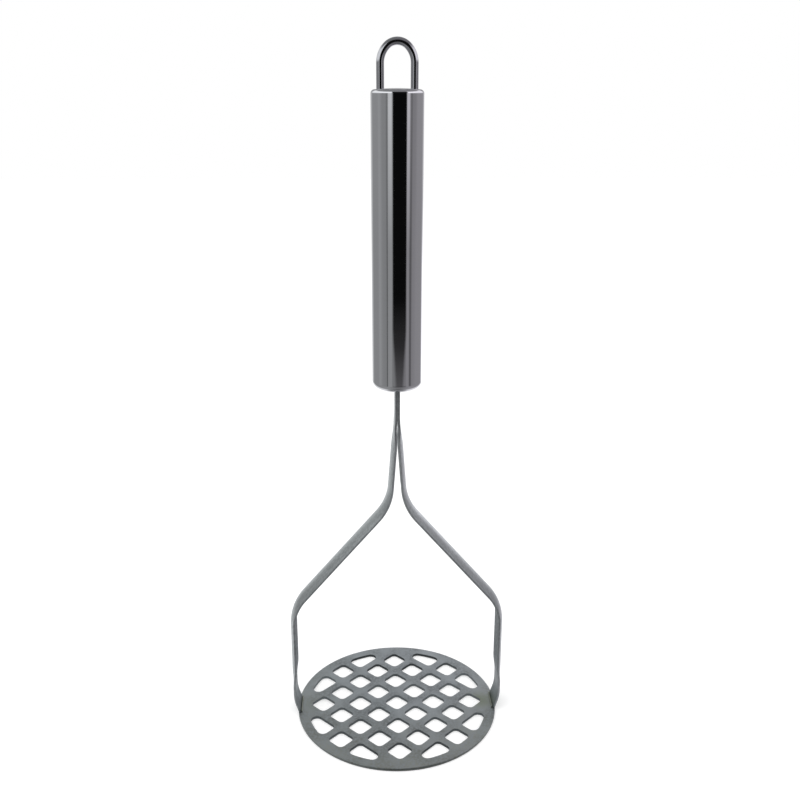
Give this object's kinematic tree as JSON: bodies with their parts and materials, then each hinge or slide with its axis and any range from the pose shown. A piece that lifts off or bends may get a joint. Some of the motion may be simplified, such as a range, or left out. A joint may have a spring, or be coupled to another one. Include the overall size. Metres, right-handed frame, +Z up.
{
  "type": "potato masher",
  "caption": "Welded steel potato masher: round pierced plate on two bent strip arms, hollow round handle with a wire hanging loop.",
  "frame": {"origin": "On the plate's flat underside, which is the surface the masher stands on, on the axis of the handle", "axes": "+Z up along the handle, X across the two arms with +X to the right in the picture, +Y away from the viewer"},
  "size_m": [0.089, 0.085, 0.2713],
  "materials": {
    "satin_steel": "satin",
    "polished_steel": "polished",
    "polished_wire": "polished",
    "weld_metal": "satin"
  },
  "bodies": {
    "root": {"mashing_plate": "satin_steel", "left_arm": "satin_steel", "right_arm": "satin_steel", "handle_tube": "polished_steel", "lower_cap": "polished_steel", "top_cap": "polished_steel", "hanging_loop": "polished_wire", "tang_weld": "weld_metal", "loop_welds": "weld_metal", "foot_welds": "weld_metal"}
  },
  "joints": []
}
